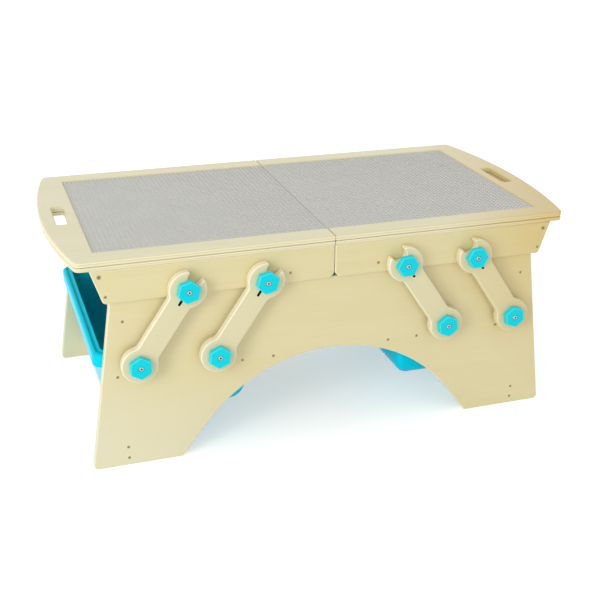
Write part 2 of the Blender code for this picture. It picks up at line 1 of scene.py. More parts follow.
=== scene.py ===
"""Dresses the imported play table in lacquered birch, moulded plastics and zinc-plated screws.

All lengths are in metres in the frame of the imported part: X runs along the
table, Y from front to rear and Z up, with the origin on the floor under the
middle of the table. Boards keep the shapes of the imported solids, with softer
arrises; arms, knobs, tubs, studs and screws are surfaces worked out here.
"""

import json
import logging
import math
from collections.abc import Iterable
from dataclasses import dataclass
from enum import Enum
from itertools import product

import bmesh
import bpy
import numpy as np
from bpy.types import Material, Mesh, Node, NodeSocket, NodeTree, Object
from mathutils import Matrix, Vector
from mathutils.geometry import tessellate_polygon

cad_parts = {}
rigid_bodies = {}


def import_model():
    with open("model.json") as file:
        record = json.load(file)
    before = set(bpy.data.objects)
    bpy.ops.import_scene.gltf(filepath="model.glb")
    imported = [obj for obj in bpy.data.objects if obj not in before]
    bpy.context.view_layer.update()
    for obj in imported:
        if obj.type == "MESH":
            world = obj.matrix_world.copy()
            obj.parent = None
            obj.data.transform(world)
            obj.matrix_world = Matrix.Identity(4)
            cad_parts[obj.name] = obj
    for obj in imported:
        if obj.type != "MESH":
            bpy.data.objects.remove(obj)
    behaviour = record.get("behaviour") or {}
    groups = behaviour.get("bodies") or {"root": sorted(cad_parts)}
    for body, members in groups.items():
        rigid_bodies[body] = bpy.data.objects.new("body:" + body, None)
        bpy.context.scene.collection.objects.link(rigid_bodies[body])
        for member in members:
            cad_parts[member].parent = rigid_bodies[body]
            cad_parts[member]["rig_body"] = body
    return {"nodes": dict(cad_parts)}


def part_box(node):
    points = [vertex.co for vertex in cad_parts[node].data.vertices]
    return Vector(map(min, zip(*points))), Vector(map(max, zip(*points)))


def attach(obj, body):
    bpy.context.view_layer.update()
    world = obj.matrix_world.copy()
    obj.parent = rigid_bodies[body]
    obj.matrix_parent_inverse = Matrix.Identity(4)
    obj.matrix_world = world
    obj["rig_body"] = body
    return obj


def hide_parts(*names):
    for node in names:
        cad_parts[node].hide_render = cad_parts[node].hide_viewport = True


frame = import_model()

LOG = logging.getLogger("play_table")
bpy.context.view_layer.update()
MM = 0.001
QUARTER = math.pi / 2
WHOLE = 2 * math.pi
UNTURNED = np.eye(3)
WHITE = (1.0, 1.0, 1.0, 1.0)


class Side(Enum):
    """Half of the table; the value is the sign of X there."""

    LEFT = -1
    RIGHT = 1


class Face(Enum):
    """Long face of the table; the value is the sign of Y there."""

    FRONT = -1
    REAR = 1


class ArmPlace(Enum):
    """Which of a half's two arms on one long face, from the table's end inwards."""

    OUTER = 0
    INNER = 1


class ArmEnd(Enum):
    """End of an arm, from the half tray down to the side panel."""

    UPPER = 0
    LOWER = 1


class Grain(Enum):
    """World direction of a board's face grain."""

    ALONG = (1.0, 0.0, 0.0)
    ACROSS = (0.0, 1.0, 0.0)


def packed_name(*parts: Enum | str) -> str:
    """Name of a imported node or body, joined from its parts in small letters."""
    return "_".join(part.name.lower() if isinstance(part, Enum) else part for part in parts)


def packed_names(*choices: Iterable) -> tuple[str, ...]:
    """Packed names of every combination of the choices, the last one changing first."""
    return tuple(packed_name(*parts) for parts in product(*choices))


# Numpy surfaces


@dataclass
class Surface:
    """A mesh held as whole arrays until it goes into Blender."""

    points: np.ndarray
    faces: list[np.ndarray]
    tones: list[int] | None = None

    def moved(self, shift: np.ndarray, turn: np.ndarray = UNTURNED) -> "Surface":
        """The surface after p -> turn p + shift."""
        return Surface(self.points @ turn.T + shift, self.faces, self.tones)

    def repeated(self, spots: np.ndarray) -> "Surface":
        """Copies of the surface at many spots, in one surface.

        Copy m of vertex v has index m V + v, so each face array is repeated
        with m V added.

        Args:
            spots: An (M, 3) array of shifts.

        Returns:
            The joined surface.
        """
        points = (spots[:, None, :] + self.points[None, :, :]).reshape(-1, 3)
        starts = np.arange(len(spots))[:, None, None] * len(self.points)
        faces = [(starts + part[None, :, :]).reshape(-1, part.shape[1]) for part in self.faces]
        return Surface(points, faces, self.tones)


def joined(surfaces: list[Surface]) -> Surface:
    """One surface from several, each kept as its own shell.

    Args:
        surfaces: The shells; one without tones counts as tone 0.

    Returns:
        The joined surface, each shell's indices moved on by the points before it.
    """
    starts = np.cumsum([0] + [len(s.points) for s in surfaces])[:-1]
    faces = [part + start for s, start in zip(surfaces, starts) for part in s.faces]
    tones = [tone for s in surfaces for tone in (s.tones or [0] * len(s.faces))]
    return Surface(np.concatenate([s.points for s in surfaces]), faces, tones)


def rays(angle: np.ndarray) -> np.ndarray:
    """Unit vectors (cos a, sin a), on a new last axis."""
    return np.stack([np.cos(angle), np.sin(angle)], axis=-1)


def arc(
    centre: tuple[float, float], radius: float, start: float, end: float, steps: int
) -> np.ndarray:
    """Points centre + radius (cos a, sin a), with a from start to end in equal steps."""
    return np.array(centre) + radius * rays(np.linspace(start, end, steps + 1))


def raised(flat: np.ndarray, heights: np.ndarray | list[float]) -> np.ndarray:
    """Flat (R, N, 2) rings, each lifted to its own height."""
    lift = np.broadcast_to(np.reshape(heights, (-1, 1, 1)), flat.shape[:2] + (1,))
    return np.concatenate([flat, lift], axis=2)


def lofted(rings: np.ndarray, caps: bool = True) -> Surface:
    """Closed skin through rings of equal count, each end filled by one face.

    Point k of ring r has index r N + k; quad (r, k) joins points k and k + 1
    (modulo N) of the rings r and r + 1.

    Args:
        rings: An (R, N, 3) array; rings run anticlockwise seen from the last one.
        caps: Whether the first and the last ring are filled.

    Returns:
        The skin, with outward faces.
    """
    count, points = rings.shape[:2]
    ring = np.arange(count - 1)[:, None] * points
    here = np.arange(points)[None, :]
    after = (here + 1) % points
    corners = [ring + here, ring + after, ring + points + after, ring + points + here]
    faces = [np.stack(corners, axis=-1).reshape(-1, 4)]
    if caps:
        faces += [here[:, ::-1], here + (count - 1) * points]
    return Surface(rings.reshape(-1, 3), faces)


def dark_topped(skin: Surface, points: int) -> Surface:
    """A loft of rings of that many points, its last band of quads and upper cap in tone 1: painted
    shade.
    """
    quads, lower, upper = skin.faces
    return Surface(skin.points, [quads[:-points], quads[-points:], lower, upper], [0, 1, 0, 1])


def edge_normals(edges: np.ndarray) -> np.ndarray:
    """Unit normals (y, -x) / length to the right of flat edges (x, y)."""
    normal = np.stack([edges[:, 1], -edges[:, 0]], axis=1)
    return normal / np.linalg.norm(normal, axis=1, keepdims=True)


def inset(
    points: np.ndarray, before: np.ndarray, after: np.ndarray, distance: float
) -> np.ndarray:
    """Corners moved by -distance (n0 + n1) / (1 + n0 . n1), n0 and n1 their edges' unit normals."""
    turn = 1.0 + np.sum(before * after, axis=1, keepdims=True)
    return points - distance * (before + after) / turn


def cross_products(corners: np.ndarray) -> np.ndarray:
    """Cross product of two sides of each (T, 3, 3) triangle: its normal times twice its area."""
    return np.cross(corners[:, 1] - corners[:, 0], corners[:, 2] - corners[:, 0])


def rounded_slab(
    loops: list[np.ndarray], rounds: list[float], thickness: float, steps: int
) -> Surface:
    """Board whose outer edge and holes are rounded over.

    The wall of a loop is the loop inset by r (1 - cos a) at height
    h - r (1 - sin a) for its upper round, mirrored below, with r the round,
    h half the thickness and a from 0 to 90 degrees. Both faces are filled
    between the last rings.

    Args:
        loops: The outer loop anticlockwise, then the holes clockwise.
        rounds: Radius of the rounded edge of each loop.
        thickness: Full thickness along Z.
        steps: Facets in a quarter of a round.

    Returns:
        The closed slab, centred on its own XY plane: a part of faces for each
        loop's wall, then the lower and the upper face.
    """
    angle = np.linspace(0.0, QUARTER, steps + 1)
    points, faces, start, lower, upper = [], [], 0, [], []
    for loop, radius in zip(loops, rounds):
        normal = edge_normals(np.roll(loop, -1, axis=0) - loop)
        before = np.roll(normal, 1, axis=0)
        insets = radius * (1 - np.cos(angle))
        drop = thickness / 2 - radius * (1 - np.sin(angle))
        flat = [inset(loop, before, normal, step) for step in (*insets[::-1], *insets)]
        rings = raised(np.stack(flat), [*-drop[::-1], *drop])
        wall = lofted(rings, caps=False)
        points.append(wall.points)
        faces.append(wall.faces[0] + start)
        lower.append((start + np.arange(len(loop)), rings[0]))
        start += len(wall.points)
        upper.append((start - len(loop) + np.arange(len(loop)), rings[-1]))
    for ends, flip in ((lower, True), (upper, False)):
        index = np.concatenate([numbers for numbers, _ in ends])
        triangles = np.array(tessellate_polygon([[Vector(p) for p in ring] for _, ring in ends]))
        corners = np.concatenate([ring for _, ring in ends])[triangles]
        wrong = (cross_products(corners)[:, 2] > 0) == flip
        triangles[wrong] = triangles[wrong][:, ::-1]
        faces.append(index[triangles])
    return Surface(np.concatenate(points), faces)


def standing(face: Face) -> np.ndarray:
    """Turn of a drawing so that its Z looks out of a long face of the table and its Y looks up."""
    way = float(face.value)
    return np.array([[-way, 0.0, 0.0], [0.0, 0.0, way], [0.0, 1.0, 0.0]])


def spun(angle: float) -> np.ndarray:
    """Turn about Z by an angle in radians, as a 3 x 3 matrix."""
    c, s = math.cos(angle), math.sin(angle)
    return np.array([[c, -s, 0.0], [s, c, 0.0], [0.0, 0.0, 1.0]])


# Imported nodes


def read_mesh(mesh: Mesh) -> tuple[np.ndarray, np.ndarray]:
    """Reads a mesh into arrays.

    Args:
        mesh: The mesh.

    Returns:
        The (N, 3) places of its points and the (T, 3) corners of its triangles.
    """
    points = np.empty(len(mesh.vertices) * 3)
    mesh.vertices.foreach_get("co", points)
    mesh.calc_loop_triangles()
    triangles = np.empty(len(mesh.loop_triangles) * 3, dtype=np.int32)
    mesh.loop_triangles.foreach_get("vertices", triangles)
    return points.reshape(-1, 3), triangles.reshape(-1, 3)


def node_body(node: str) -> str:
    """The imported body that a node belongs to."""
    return frame["nodes"][node]["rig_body"]


def node_box(node: str) -> tuple[np.ndarray, np.ndarray]:
    """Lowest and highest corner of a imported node."""
    low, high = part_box(node)
    return np.array(low), np.array(high)


def reach_out(node: str, way: Face) -> float:
    """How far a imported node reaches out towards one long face."""
    return max(way.value * corner[1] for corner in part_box(node))


# From arrays to pieces


def make_mesh(name: str, surface: Surface, crease: float | None = None) -> Mesh:
    """Puts a surface into a new smooth-shaded mesh.

    Args:
        name: Name of the mesh.
        surface: Its points and faces; a face part's tone is its material index.
        crease: Turn in degrees past which an edge stays sharp, if any does.

    Returns:
        The mesh.
    """
    mesh = bpy.data.meshes.new(name)
    faces = [row for part in surface.faces for row in part.tolist()]
    mesh.from_pydata(surface.points.tolist(), [], faces)
    if surface.tones:
        counts = [len(part) for part in surface.faces]
        mesh.polygons.foreach_set("material_index", np.repeat(surface.tones, counts))
    mesh.shade_smooth()
    if crease is not None:
        mesh.set_sharp_from_angle(angle=math.radians(crease))
    return mesh


def store(mesh: Mesh, name: str, values: np.ndarray, domain: str = "POINT") -> None:
    """Stores a number or a vector for each point or face as a mesh attribute."""
    kind, field = ("FLOAT_VECTOR", "vector") if values.ndim == 2 else ("FLOAT", "value")
    mesh.attributes.new(name, kind, domain).data.foreach_set(field, values.ravel())


def new_object(name: str, data: bpy.types.ID) -> Object:
    """Makes an object of some data and puts it into the scene.

    Args:
        name: Its name.
        data: Its mesh, camera or light.

    Returns:
        The object.
    """
    thing = bpy.data.objects.new(name, data)
    bpy.context.scene.collection.objects.link(thing)
    return thing


def add_piece(
    mesh: Mesh,
    materials: list[Material],
    body: str,
    stands_for: tuple[str, ...] = (),
    flat_faces: bool = False,
) -> None:
    """Adds a finished piece that rides on a body, under the name of its mesh.

    Args:
        mesh: Its mesh, already in place in the frame.
        materials: Its materials, by material index.
        body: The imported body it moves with.
        stands_for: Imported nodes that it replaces.
        flat_faces: Whether area-weighted normals keep faces flat beside small rounds.
    """
    piece = new_object(mesh.name, mesh)
    for material in materials:
        mesh.materials.append(material)
    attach(piece, body)
    if stands_for:
        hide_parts(*stands_for)
    if flat_faces:
        piece.modifiers.new("flat_faces", "WEIGHTED_NORMAL").keep_sharp = True
    LOG.info("%s rides on %s with %d faces", piece.name, body, len(mesh.polygons))


@dataclass(frozen=True)
class Plies:
    """How a sheet's plies and grain lie in the boards that are sawn from it."""

    thickness: float
    # Depth over which the face veneer ends
    fade: float
    # Metres along and across that each next board lies on in the sheet
    shift: tuple[float, float]

    def store(self, mesh: Mesh, place: np.ndarray, number: int) -> None:
        """Stores where each point lies in its board.

        "board" holds metres along the grain, metres across it and plies from
        the middle, of which a board has an odd number; "face" is 1 on both
        faces and 0 on the edges.

        Args:
            mesh: The board's mesh.
            place: (N, 3) metres along the grain, across it and through the board.
            number: The board's number.
        """
        through = place[:, 2]
        half = np.abs(through).max()
        plies = max(3, 2 * round(half / self.thickness - 0.5) + 1)
        flat = place[:, :2] + number * np.array(self.shift)
        store(mesh, "board", np.column_stack([flat, through / (2 * half) * plies]))
        store(mesh, "face", 1.0 - np.clip((half - np.abs(through)) / self.fade, 0.0, 1.0))


# Colours and nodes


def linear(colour: str) -> tuple[float, float, float, float]:
    """Turns an sRGB colour into a linear one.

    Each part c is c / 12.92 below 0.04045, else ((c + 0.055) / 1.055) ** 2.4.

    Args:
        colour: The colour as "#RRGGBB".

    Returns:
        Linear red, green and blue, and an alpha of 1.
    """
    parts = [int(colour[k : k + 2], 16) / 255 for k in (1, 3, 5)]
    values = [p / 12.92 if p <= 0.04045 else ((p + 0.055) / 1.055) ** 2.4 for p in parts]
    return (*values, 1.0)


def feed(tree: NodeTree, node: Node, inputs: dict) -> None:
    """Gives a node its inputs.

    Args:
        tree: The node tree.
        node: The node.
        inputs: Values of its sockets, or sockets to link to them, by name or number.
    """
    for name, value in inputs.items():
        if isinstance(value, NodeSocket):
            tree.links.new(value, node.inputs[name])
        else:
            node.inputs[name].default_value = value


def add_node(
    tree: NodeTree, kind: str, inputs: dict | None = None, output: str | int = 0, **settings: str
) -> NodeSocket:
    """Adds one shader node.

    Args:
        tree: The node tree.
        kind: The node's Blender type.
        inputs: Values of its sockets, or sockets to link to them, by name or number.
        output: Name or number of the output that is wanted.
        settings: Values of its properties.

    Returns:
        The socket of that output.
    """
    node = tree.nodes.new(kind)
    for name, value in settings.items():
        setattr(node, name, value)
    feed(tree, node, inputs or {})
    return node.outputs[output]


def seen_directly(tree: NodeTree) -> NodeSocket:
    """1 for what the camera sees itself, in a gloss or through something, else 0.

    Args:
        tree: The node tree.

    Returns:
        The socket with the value.
    """
    path = tree.nodes.new("ShaderNodeLightPath").outputs
    seen = path["Is Camera Ray"]
    for kind in ("Is Glossy Ray", "Is Transmission Ray"):
        seen = add_node(tree, "ShaderNodeMath", {0: seen, 1: path[kind]}, operation="MAXIMUM")
    return seen


class Paint:
    """A material in the making: its node tree and the Object coordinates there."""

    def __init__(self, name: str) -> None:
        """Starts a material.

        Args:
            name: Its name.
        """
        self.material = bpy.data.materials.new(name)
        self.material.use_nodes = True
        self.tree = self.material.node_tree
        self.place = add_node(self.tree, "ShaderNodeTexCoord", output="Object")

    def attribute(self, name: str, output: str) -> NodeSocket:
        """What a mesh's attribute holds, as one of the outputs Vector and Fac."""
        return add_node(self.tree, "ShaderNodeAttribute", output=output, attribute_name=name)

    def mottled(
        self,
        place: NodeSocket,
        sizes: tuple[float, float, float],
        detail: float = 2.0,
        stir: float = 0.0,
    ) -> NodeSocket:
        """Soft random pattern whose features have a real size.

        Args:
            place: Coordinates in metres.
            sizes: Length of one feature along each axis, in metres.
            detail: Octaves of finer features.
            stir: How much the pattern is distorted.

        Returns:
            Its value, from 0 to 1.
        """
        scale = tuple(1.0 / size for size in sizes)
        grid = add_node(self.tree, "ShaderNodeMapping", {"Vector": place, "Scale": scale})
        cloud = {"Vector": grid, "Scale": 1.0, "Detail": detail, "Distortion": stir}
        return add_node(self.tree, "ShaderNodeTexNoise", cloud)

    def layered(self, colour: NodeSocket | tuple, layers: list[tuple]) -> NodeSocket:
        """A colour with others laid over it one by one, each by its own share.

        Args:
            colour: The lowest colour.
            layers: Share and colour of each layer, from the lowest up.

        Returns:
            The colour that shows.
        """
        for share, over in layers:
            inputs = {"Factor": share, 6: colour, 7: over}
            colour = add_node(self.tree, "ShaderNodeMix", inputs, 2, data_type="RGBA")
        return colour

    def shaded(self, inputs: dict) -> Material:
        """The material, once its shader has these inputs."""
        feed(self.tree, self.tree.nodes["Principled BSDF"], inputs)
        return self.material

    def finished(
        self,
        pattern: NodeSocket,
        roughness: tuple[float, float],
        inputs: dict,
        relief: tuple[float, float] | None = None,
    ) -> Material:
        """The material, with a gloss and relief that follow one fine pattern.

        Args:
            pattern: The pattern, from 0 to 1.
            roughness: Roughness where the pattern is 0 and where it is 1.
            inputs: The shader's other inputs.
            relief: Strength and depth of the bump, if the surface has one.

        Returns:
            The material.
        """
        sheen = {"Value": pattern, "To Min": roughness[0], "To Max": roughness[1]}
        inputs["Roughness"] = add_node(self.tree, "ShaderNodeMapRange", sheen)
        if relief:
            bump = {"Strength": relief[0], "Distance": relief[1], "Height": pattern}
            inputs["Normal"] = add_node(self.tree, "ShaderNodeBump", bump)
        return self.shaded(inputs)


# Finishes


@dataclass(frozen=True)
class PaintedShading:
    """Painted light or shade: a sheet's colour changing from none at one point to its share at
    another.
    """

    start: tuple[float, float, float]
    end: tuple[float, float, float]
    share: float
    # Amber of the painted shade, unless another colour is given
    colour: str = "#D8B968"

    def spread(self, paint: Paint) -> NodeSocket:
        """Share of the painted light or shade at each place.

        It is share (p - start) . w / (w . w) with w = end - start, kept between
        0 and the share.

        Args:
            paint: The birch's material in the making, with its Object coordinates p.

        Returns:
            The share.
        """
        tree, way = paint.tree, Vector(self.end) - Vector(self.start)
        inputs = {0: paint.place, 1: self.start}
        gone = add_node(tree, "ShaderNodeVectorMath", inputs, operation="SUBTRACT")
        inputs = {0: gone, 1: way / way.length_squared}
        along = add_node(tree, "ShaderNodeVectorMath", inputs, "Value", operation="DOT_PRODUCT")
        return add_node(tree, "ShaderNodeMapRange", {"Value": along, "To Max": self.share})


@dataclass(frozen=True)
class LacqueredBirch:
    """Birch plywood, rotary-cut, sanded and clear-lacquered.

    To the eye it is a pale cream wood with faint long streaks, broad pale
    figure and a soft sheen, and its cut edges show the plies as light and dark
    lines. The colour is drawn on the attribute "board", which holds metres
    along the grain, metres across it and the number of plies through the
    board. "face" is 1 where the face veneer shows, and the kerf attribute is
    1 on the walls of a narrow kerf, which get near-black painted shade. A
    sheet may get painted shade in amber, or painted light in a paler cream,
    across the table.
    """

    name: str
    pale: str
    deep: str
    painted_shading: tuple[PaintedShading, ...] = ()
    ply_light: str = "#EEE6C4"
    ply_dark: str = "#D6C796"
    # Near-black painted shade on the walls of the narrow kerf
    kerf_shade_colour: str = "#2A1D10"
    roughness: tuple[float, float] = (0.37, 0.49)
    ior: float = 1.5
    coat: float = 0.28
    coat_roughness: float = 0.22
    # Birch streaks are under 1 mm wide, finer than a pixel, so they are drawn 3 mm wide
    streak_size: tuple[float, float, float] = (110.0 * MM, 3.0 * MM, 9.0)
    figure_size: tuple[float, float, float] = (260.0 * MM, 34.0 * MM, 7.0)
    # Pores keep their real size and only show close up
    fleck_size: tuple[float, float, float] = (6.0 * MM, 0.6 * MM, 5.0)
    streak_weight: float = 0.75
    streak_stir: float = 0.35
    figure_weight: float = 0.65
    deep_below: float = 0.42
    pale_above: float = 0.86
    fleck_from: float = 0.66
    fleck_full: float = 0.80
    fleck_share: float = 0.22
    ply_blend: float = 0.35
    # Strength and depth of the pores' relief
    relief: tuple[float, float] = (0.18, 0.05 * MM)

    def veneer(self, paint: Paint, board: NodeSocket, streak: NodeSocket) -> NodeSocket:
        """Colour of the face veneer: streaks on broad figure, with fine pores.

        Args:
            paint: The material in the making.
            board: Place in the board.
            streak: Its streaks.

        Returns:
            The colour.
        """
        tree, figure = paint.tree, paint.mottled(board, self.figure_size)
        fleck = paint.mottled(board, self.fleck_size, 1.0)
        inputs = {0: figure, 1: self.figure_weight}
        broad = add_node(tree, "ShaderNodeMath", inputs, operation="MULTIPLY")
        inputs = {0: streak, 1: self.streak_weight, 2: broad}
        tone = add_node(tree, "ShaderNodeMath", inputs, operation="MULTIPLY_ADD")
        wood = add_node(tree, "ShaderNodeValToRGB", {"Fac": tone})
        deep_end, pale_end = wood.node.color_ramp.elements
        deep_end.position, deep_end.color = self.deep_below, linear(self.deep)
        pale_end.position, pale_end.color = self.pale_above, linear(self.pale)
        inputs = {"From Min": self.fleck_from, "From Max": self.fleck_full}
        inputs |= {"Value": fleck, "To Max": self.fleck_share}
        pores = add_node(tree, "ShaderNodeMapRange", inputs)
        return paint.layered(wood, [(pores, linear(self.deep))])

    def material(self) -> Material:
        """Builds the material.

        The dark plies are where cos(pi z) is high, with z the plies from the
        middle of the board.

        Returns:
            The lacquered birch material.
        """
        paint = Paint(self.name)
        tree, board = paint.tree, paint.attribute("board", "Vector")
        streak = paint.mottled(board, self.streak_size, 4.0, self.streak_stir)
        plies = add_node(tree, "ShaderNodeSeparateXYZ", {"Vector": board}, "Z")
        turn = add_node(tree, "ShaderNodeMath", {0: plies, 1: math.pi}, operation="MULTIPLY")
        wave = add_node(tree, "ShaderNodeMath", {0: turn}, operation="COSINE")
        inputs = {"Value": wave, "From Min": -self.ply_blend, "From Max": self.ply_blend}
        dark = add_node(tree, "ShaderNodeMapRange", inputs, interpolation_type="SMOOTHSTEP")
        veneer = self.veneer(paint, board, streak)
        layers = [(dark, linear(self.ply_dark)), (paint.attribute("face", "Fac"), veneer)]
        # Painted light and shade across the table
        layers += [(drift.spread(paint), linear(drift.colour)) for drift in self.painted_shading]
        # Painted shade on the walls of the narrow kerf
        layers.append((paint.attribute("scorch", "Fac"), linear(self.kerf_shade_colour)))
        inputs = {
            "Base Color": paint.layered(linear(self.ply_light), layers),
            "IOR": self.ior,
            "Coat Weight": self.coat,
            "Coat Roughness": self.coat_roughness,
        }
        return paint.finished(streak, self.roughness, inputs, self.relief)


@dataclass(frozen=True)
class MouldedPlastic:
    """Injection-moulded plastic, coloured through.

    To the eye it is one strong even colour under a soft gloss. The tool's
    spark-eroded skin leaves a fine even grit that breaks up the gloss, and the
    colour drifts a little from where the melt flowed. Rounded rims get a painted
    highlight: a paler colour where the attribute "rim" is 1.
    """

    name: str
    colour: str
    drift: str
    roughness: tuple[float, float]
    ior: float = 1.5
    # Colour of the painted highlight on rounded rims; none if empty
    rim: str = ""
    # A tool's grit is about 0.1 mm, finer than a pixel, so it is drawn coarser
    grit: float = 0.9 * MM
    flow: float = 60.0 * MM
    # Strength and depth of the grit's relief
    relief: tuple[float, float] = (0.10, 0.04 * MM)
    gloss: float = 0.5

    def material(self) -> Material:
        """Builds the material.

        Returns:
            The plastic material, drawn on Object coordinates.
        """
        paint = Paint(self.name)
        layers = [(paint.mottled(paint.place, (self.flow,) * 3), linear(self.drift))]
        # Painted highlight on rounded rims
        if self.rim:
            layers.append((paint.attribute("rim", "Fac"), linear(self.rim)))
        colour = paint.layered(linear(self.colour), layers)
        inputs = {"Base Color": colour, "IOR": self.ior, "Specular IOR Level": self.gloss}
        grit = paint.mottled(paint.place, (self.grit,) * 3)
        return paint.finished(grit, self.roughness, inputs, self.relief)


@dataclass(frozen=True)
class ZincPlatedSteel:
    """Cold-headed steel with a thin zinc plate.

    To the eye it is a small bright metal spot, dulled in blotches by handling.
    """

    name: str
    colour: str
    stain: str
    roughness: tuple[float, float] = (0.26, 0.46)
    blotch: float = 1.6 * MM

    def material(self) -> Material:
        """Builds the material.

        Returns:
            The steel material, drawn on Object coordinates.
        """
        paint = Paint(self.name)
        blotch = paint.mottled(paint.place, (self.blotch,) * 3, 3.0)
        colour = paint.layered(linear(self.colour), [(blotch, linear(self.stain))])
        return paint.finished(blotch, self.roughness, {"Base Color": colour, "Metallic": 1.0})


@dataclass(frozen=True)
class DriveShadow:
    """The floor and walls of a screw's drive, drawn near-black as painted shade."""

    name: str
    colour: str = "#26241F"
    roughness: tuple[float, float] = (0.55, 0.85)
    patch: float = 1.0 * MM

    def material(self) -> Material:
        """Builds the material: near-black, and rougher in patches.

        Returns:
            The dark material.
        """
        paint = Paint(self.name)
        patch = paint.mottled(paint.place, (self.patch,) * 3)
        return paint.finished(patch, self.roughness, {"Base Color": linear(self.colour)})


@dataclass(frozen=True)
class MattPaper:
    """White backdrop paper.

    To the eye it is an even matt white. It glows a little for the camera, so
    that it looks nearly as white as its surroundings and still keeps shadows.
    """

    name: str
    colour: str = "#FAFAF8"
    roughness: float = 0.9
    gloss: float = 0.1
    glow: float = 0.45

    def material(self) -> Material:
        """Builds the material.

        Returns:
            The paper material.
        """
        paint = Paint(self.name)
        inputs = {0: seen_directly(paint.tree), 1: self.glow}
        glow = add_node(paint.tree, "ShaderNodeMath", inputs, operation="MULTIPLY")
        inputs = {
            "Base Color": linear(self.colour),
            "Roughness": self.roughness,
            "Specular IOR Level": self.gloss,
            "Emission Color": WHITE,
            "Emission Strength": glow,
        }
        return paint.shaded(inputs)


# Boards


@dataclass(frozen=True)
class Boards:
    """A family of boards sawn from the same sheet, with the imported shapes.

    Their arrises are eased a little more than the solids' and each gets the
    coordinates that its plies and grain are drawn on.
    """

    nodes: tuple[str, ...]
    grain: Grain
    slot: str = "board_wood"
    ease: float = 0.55 * MM
    # Real plies are about 1.4 mm; they are drawn 2.1 mm thick, so that a few show as lines
    plies: Plies = Plies(2.1 * MM, 0.35 * MM, (0.73, 0.19))
    weld: float = 0.001 * MM
    facet_angle: float = 0.3
    arris_angle: float = 40.0

    def stack_axis(self, corners: np.ndarray) -> np.ndarray:
        """Direction through the board: the one that most of its surface faces.

        It is the main eigenvector of the sum of a n n', with n each
        triangle's normal and a its area.

        Args:
            corners: (T, 3, 3) corners of the triangles.

        Returns:
            A unit vector.
        """
        cross = cross_products(corners)
        area = np.linalg.norm(cross, axis=1, keepdims=True)
        normal = cross / np.maximum(area, 1e-12)
        return np.linalg.eigh((normal * area).T @ normal)[1][:, -1]

    def eased_mesh(self, node: str) -> Mesh:
        """Copy of a node's mesh with welded points, whole faces and eased arrises.

        Args:
            node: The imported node.

        Returns:
            The new mesh.
        """
        points, corners = read_mesh(frame["nodes"][node].data)
        keys = np.round(points / self.weld).astype(np.int64)
        _, first, index = np.unique(keys, axis=0, return_index=True, return_inverse=True)
        triangles = index.reshape(-1)[corners]
        distinct = (triangles != np.roll(triangles, 1, axis=1)).all(axis=1)
        shape = bmesh.new()
        welded = make_mesh(node + "_welded", Surface(points[first], [triangles[distinct]]))
        shape.from_mesh(welded)
        bpy.data.meshes.remove(welded)
        flat, sharp = math.radians(self.facet_angle), math.radians(self.arris_angle)
        bmesh.ops.dissolve_limit(
            shape, angle_limit=flat, verts=shape.verts[:], edges=shape.edges[:]
        )
        arrises = [edge for edge in shape.edges if edge.calc_face_angle(0.0) > sharp]
        bmesh.ops.bevel(
            shape,
            geom=arrises,
            offset=self.ease,
            segments=2,
            profile=0.5,
            affect="EDGES",
            clamp_overlap=True,
        )
        mesh = bpy.data.meshes.new(node + "_ply")
        shape.to_mesh(mesh)
        shape.free()
        mesh.shade_smooth()
        return mesh

    def build(self, material: Material) -> None:
        """Dresses every board of the family.

        Args:
            material: The plywood's material.
        """
        for number, node in enumerate(self.nodes):
            mesh = self.eased_mesh(node)
            points, triangles = read_mesh(mesh)
            stack = self.stack_axis(points[triangles])
            along = np.array(self.grain.value)
            along = along - (along @ stack) * stack
            along /= np.linalg.norm(along)
            centred = points - (points.max(axis=0) + points.min(axis=0)) / 2
            place = np.column_stack(
                [centred @ along, centred @ np.cross(stack, along), centred @ stack]
            )
            self.plies.store(mesh, place, number)
            add_piece(mesh, [material], node_body(node), (node,), flat_faces=True)


# Swing arms


